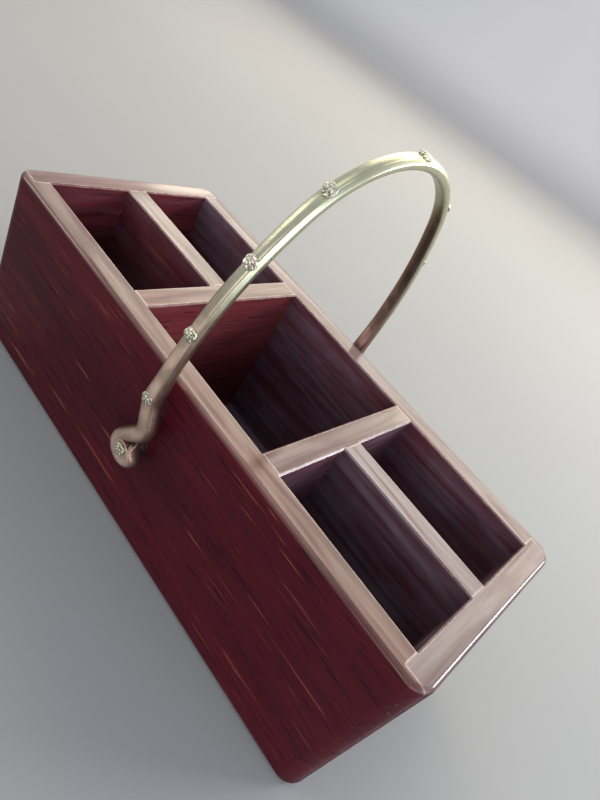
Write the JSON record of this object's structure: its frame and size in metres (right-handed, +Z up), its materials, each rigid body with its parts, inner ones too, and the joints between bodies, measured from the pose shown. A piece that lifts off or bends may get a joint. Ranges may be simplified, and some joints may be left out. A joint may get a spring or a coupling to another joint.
{
  "type": "tool storage caddy",
  "caption": "Open wooden desk caddy split into compartments by fixed dividers, with a swinging metal bail handle whose scrolled ends pivot on the long sides.",
  "frame": {"origin": "middle of the box's footprint, on the surface it stands on", "axes": "+Z up, +X along the long boards, -Y towards the front board; the handle's pivot axis runs along Y"},
  "size_m": [0.3, 0.1528, 0.2138],
  "materials": {
    "rosewood": "clear gloss lacquer over dark red-brown wood",
    "handle_metal": "aged pale brass, worn bright on the crown and dark in the scrolls",
    "stud_metal": "cast pale brass, bright on the high spots",
    "screw_metal": "aged brass"
  },
  "bodies": {
    "box": {"front_board": "rosewood", "back_board": "rosewood", "left_end_board": "rosewood", "right_end_board": "rosewood", "bottom_panel": "rosewood", "left_cross_divider": "rosewood", "right_cross_divider": "rosewood", "left_long_divider": "rosewood", "right_long_divider": "rosewood", "front_pivot_screw": "screw_metal", "back_pivot_screw": "screw_metal", "front_spacer": "screw_metal", "back_spacer": "screw_metal"},
    "handle": {"handle_bar": "handle_metal", "stud_crown": "stud_metal", "front_stud_1": "stud_metal", "front_stud_2": "stud_metal", "front_stud_3": "stud_metal", "front_stud_4": "stud_metal", "back_stud_1": "stud_metal", "back_stud_2": "stud_metal", "back_stud_3": "stud_metal", "back_stud_4": "stud_metal"}
  },
  "joints": [
    {"name": "handle_swing", "type": "hinge", "parent": "box", "child": "handle", "pos_m": [-0.002, 0, 0.055], "axis": [0, 1, 0], "range_deg": [-57, 52]}
  ]
}
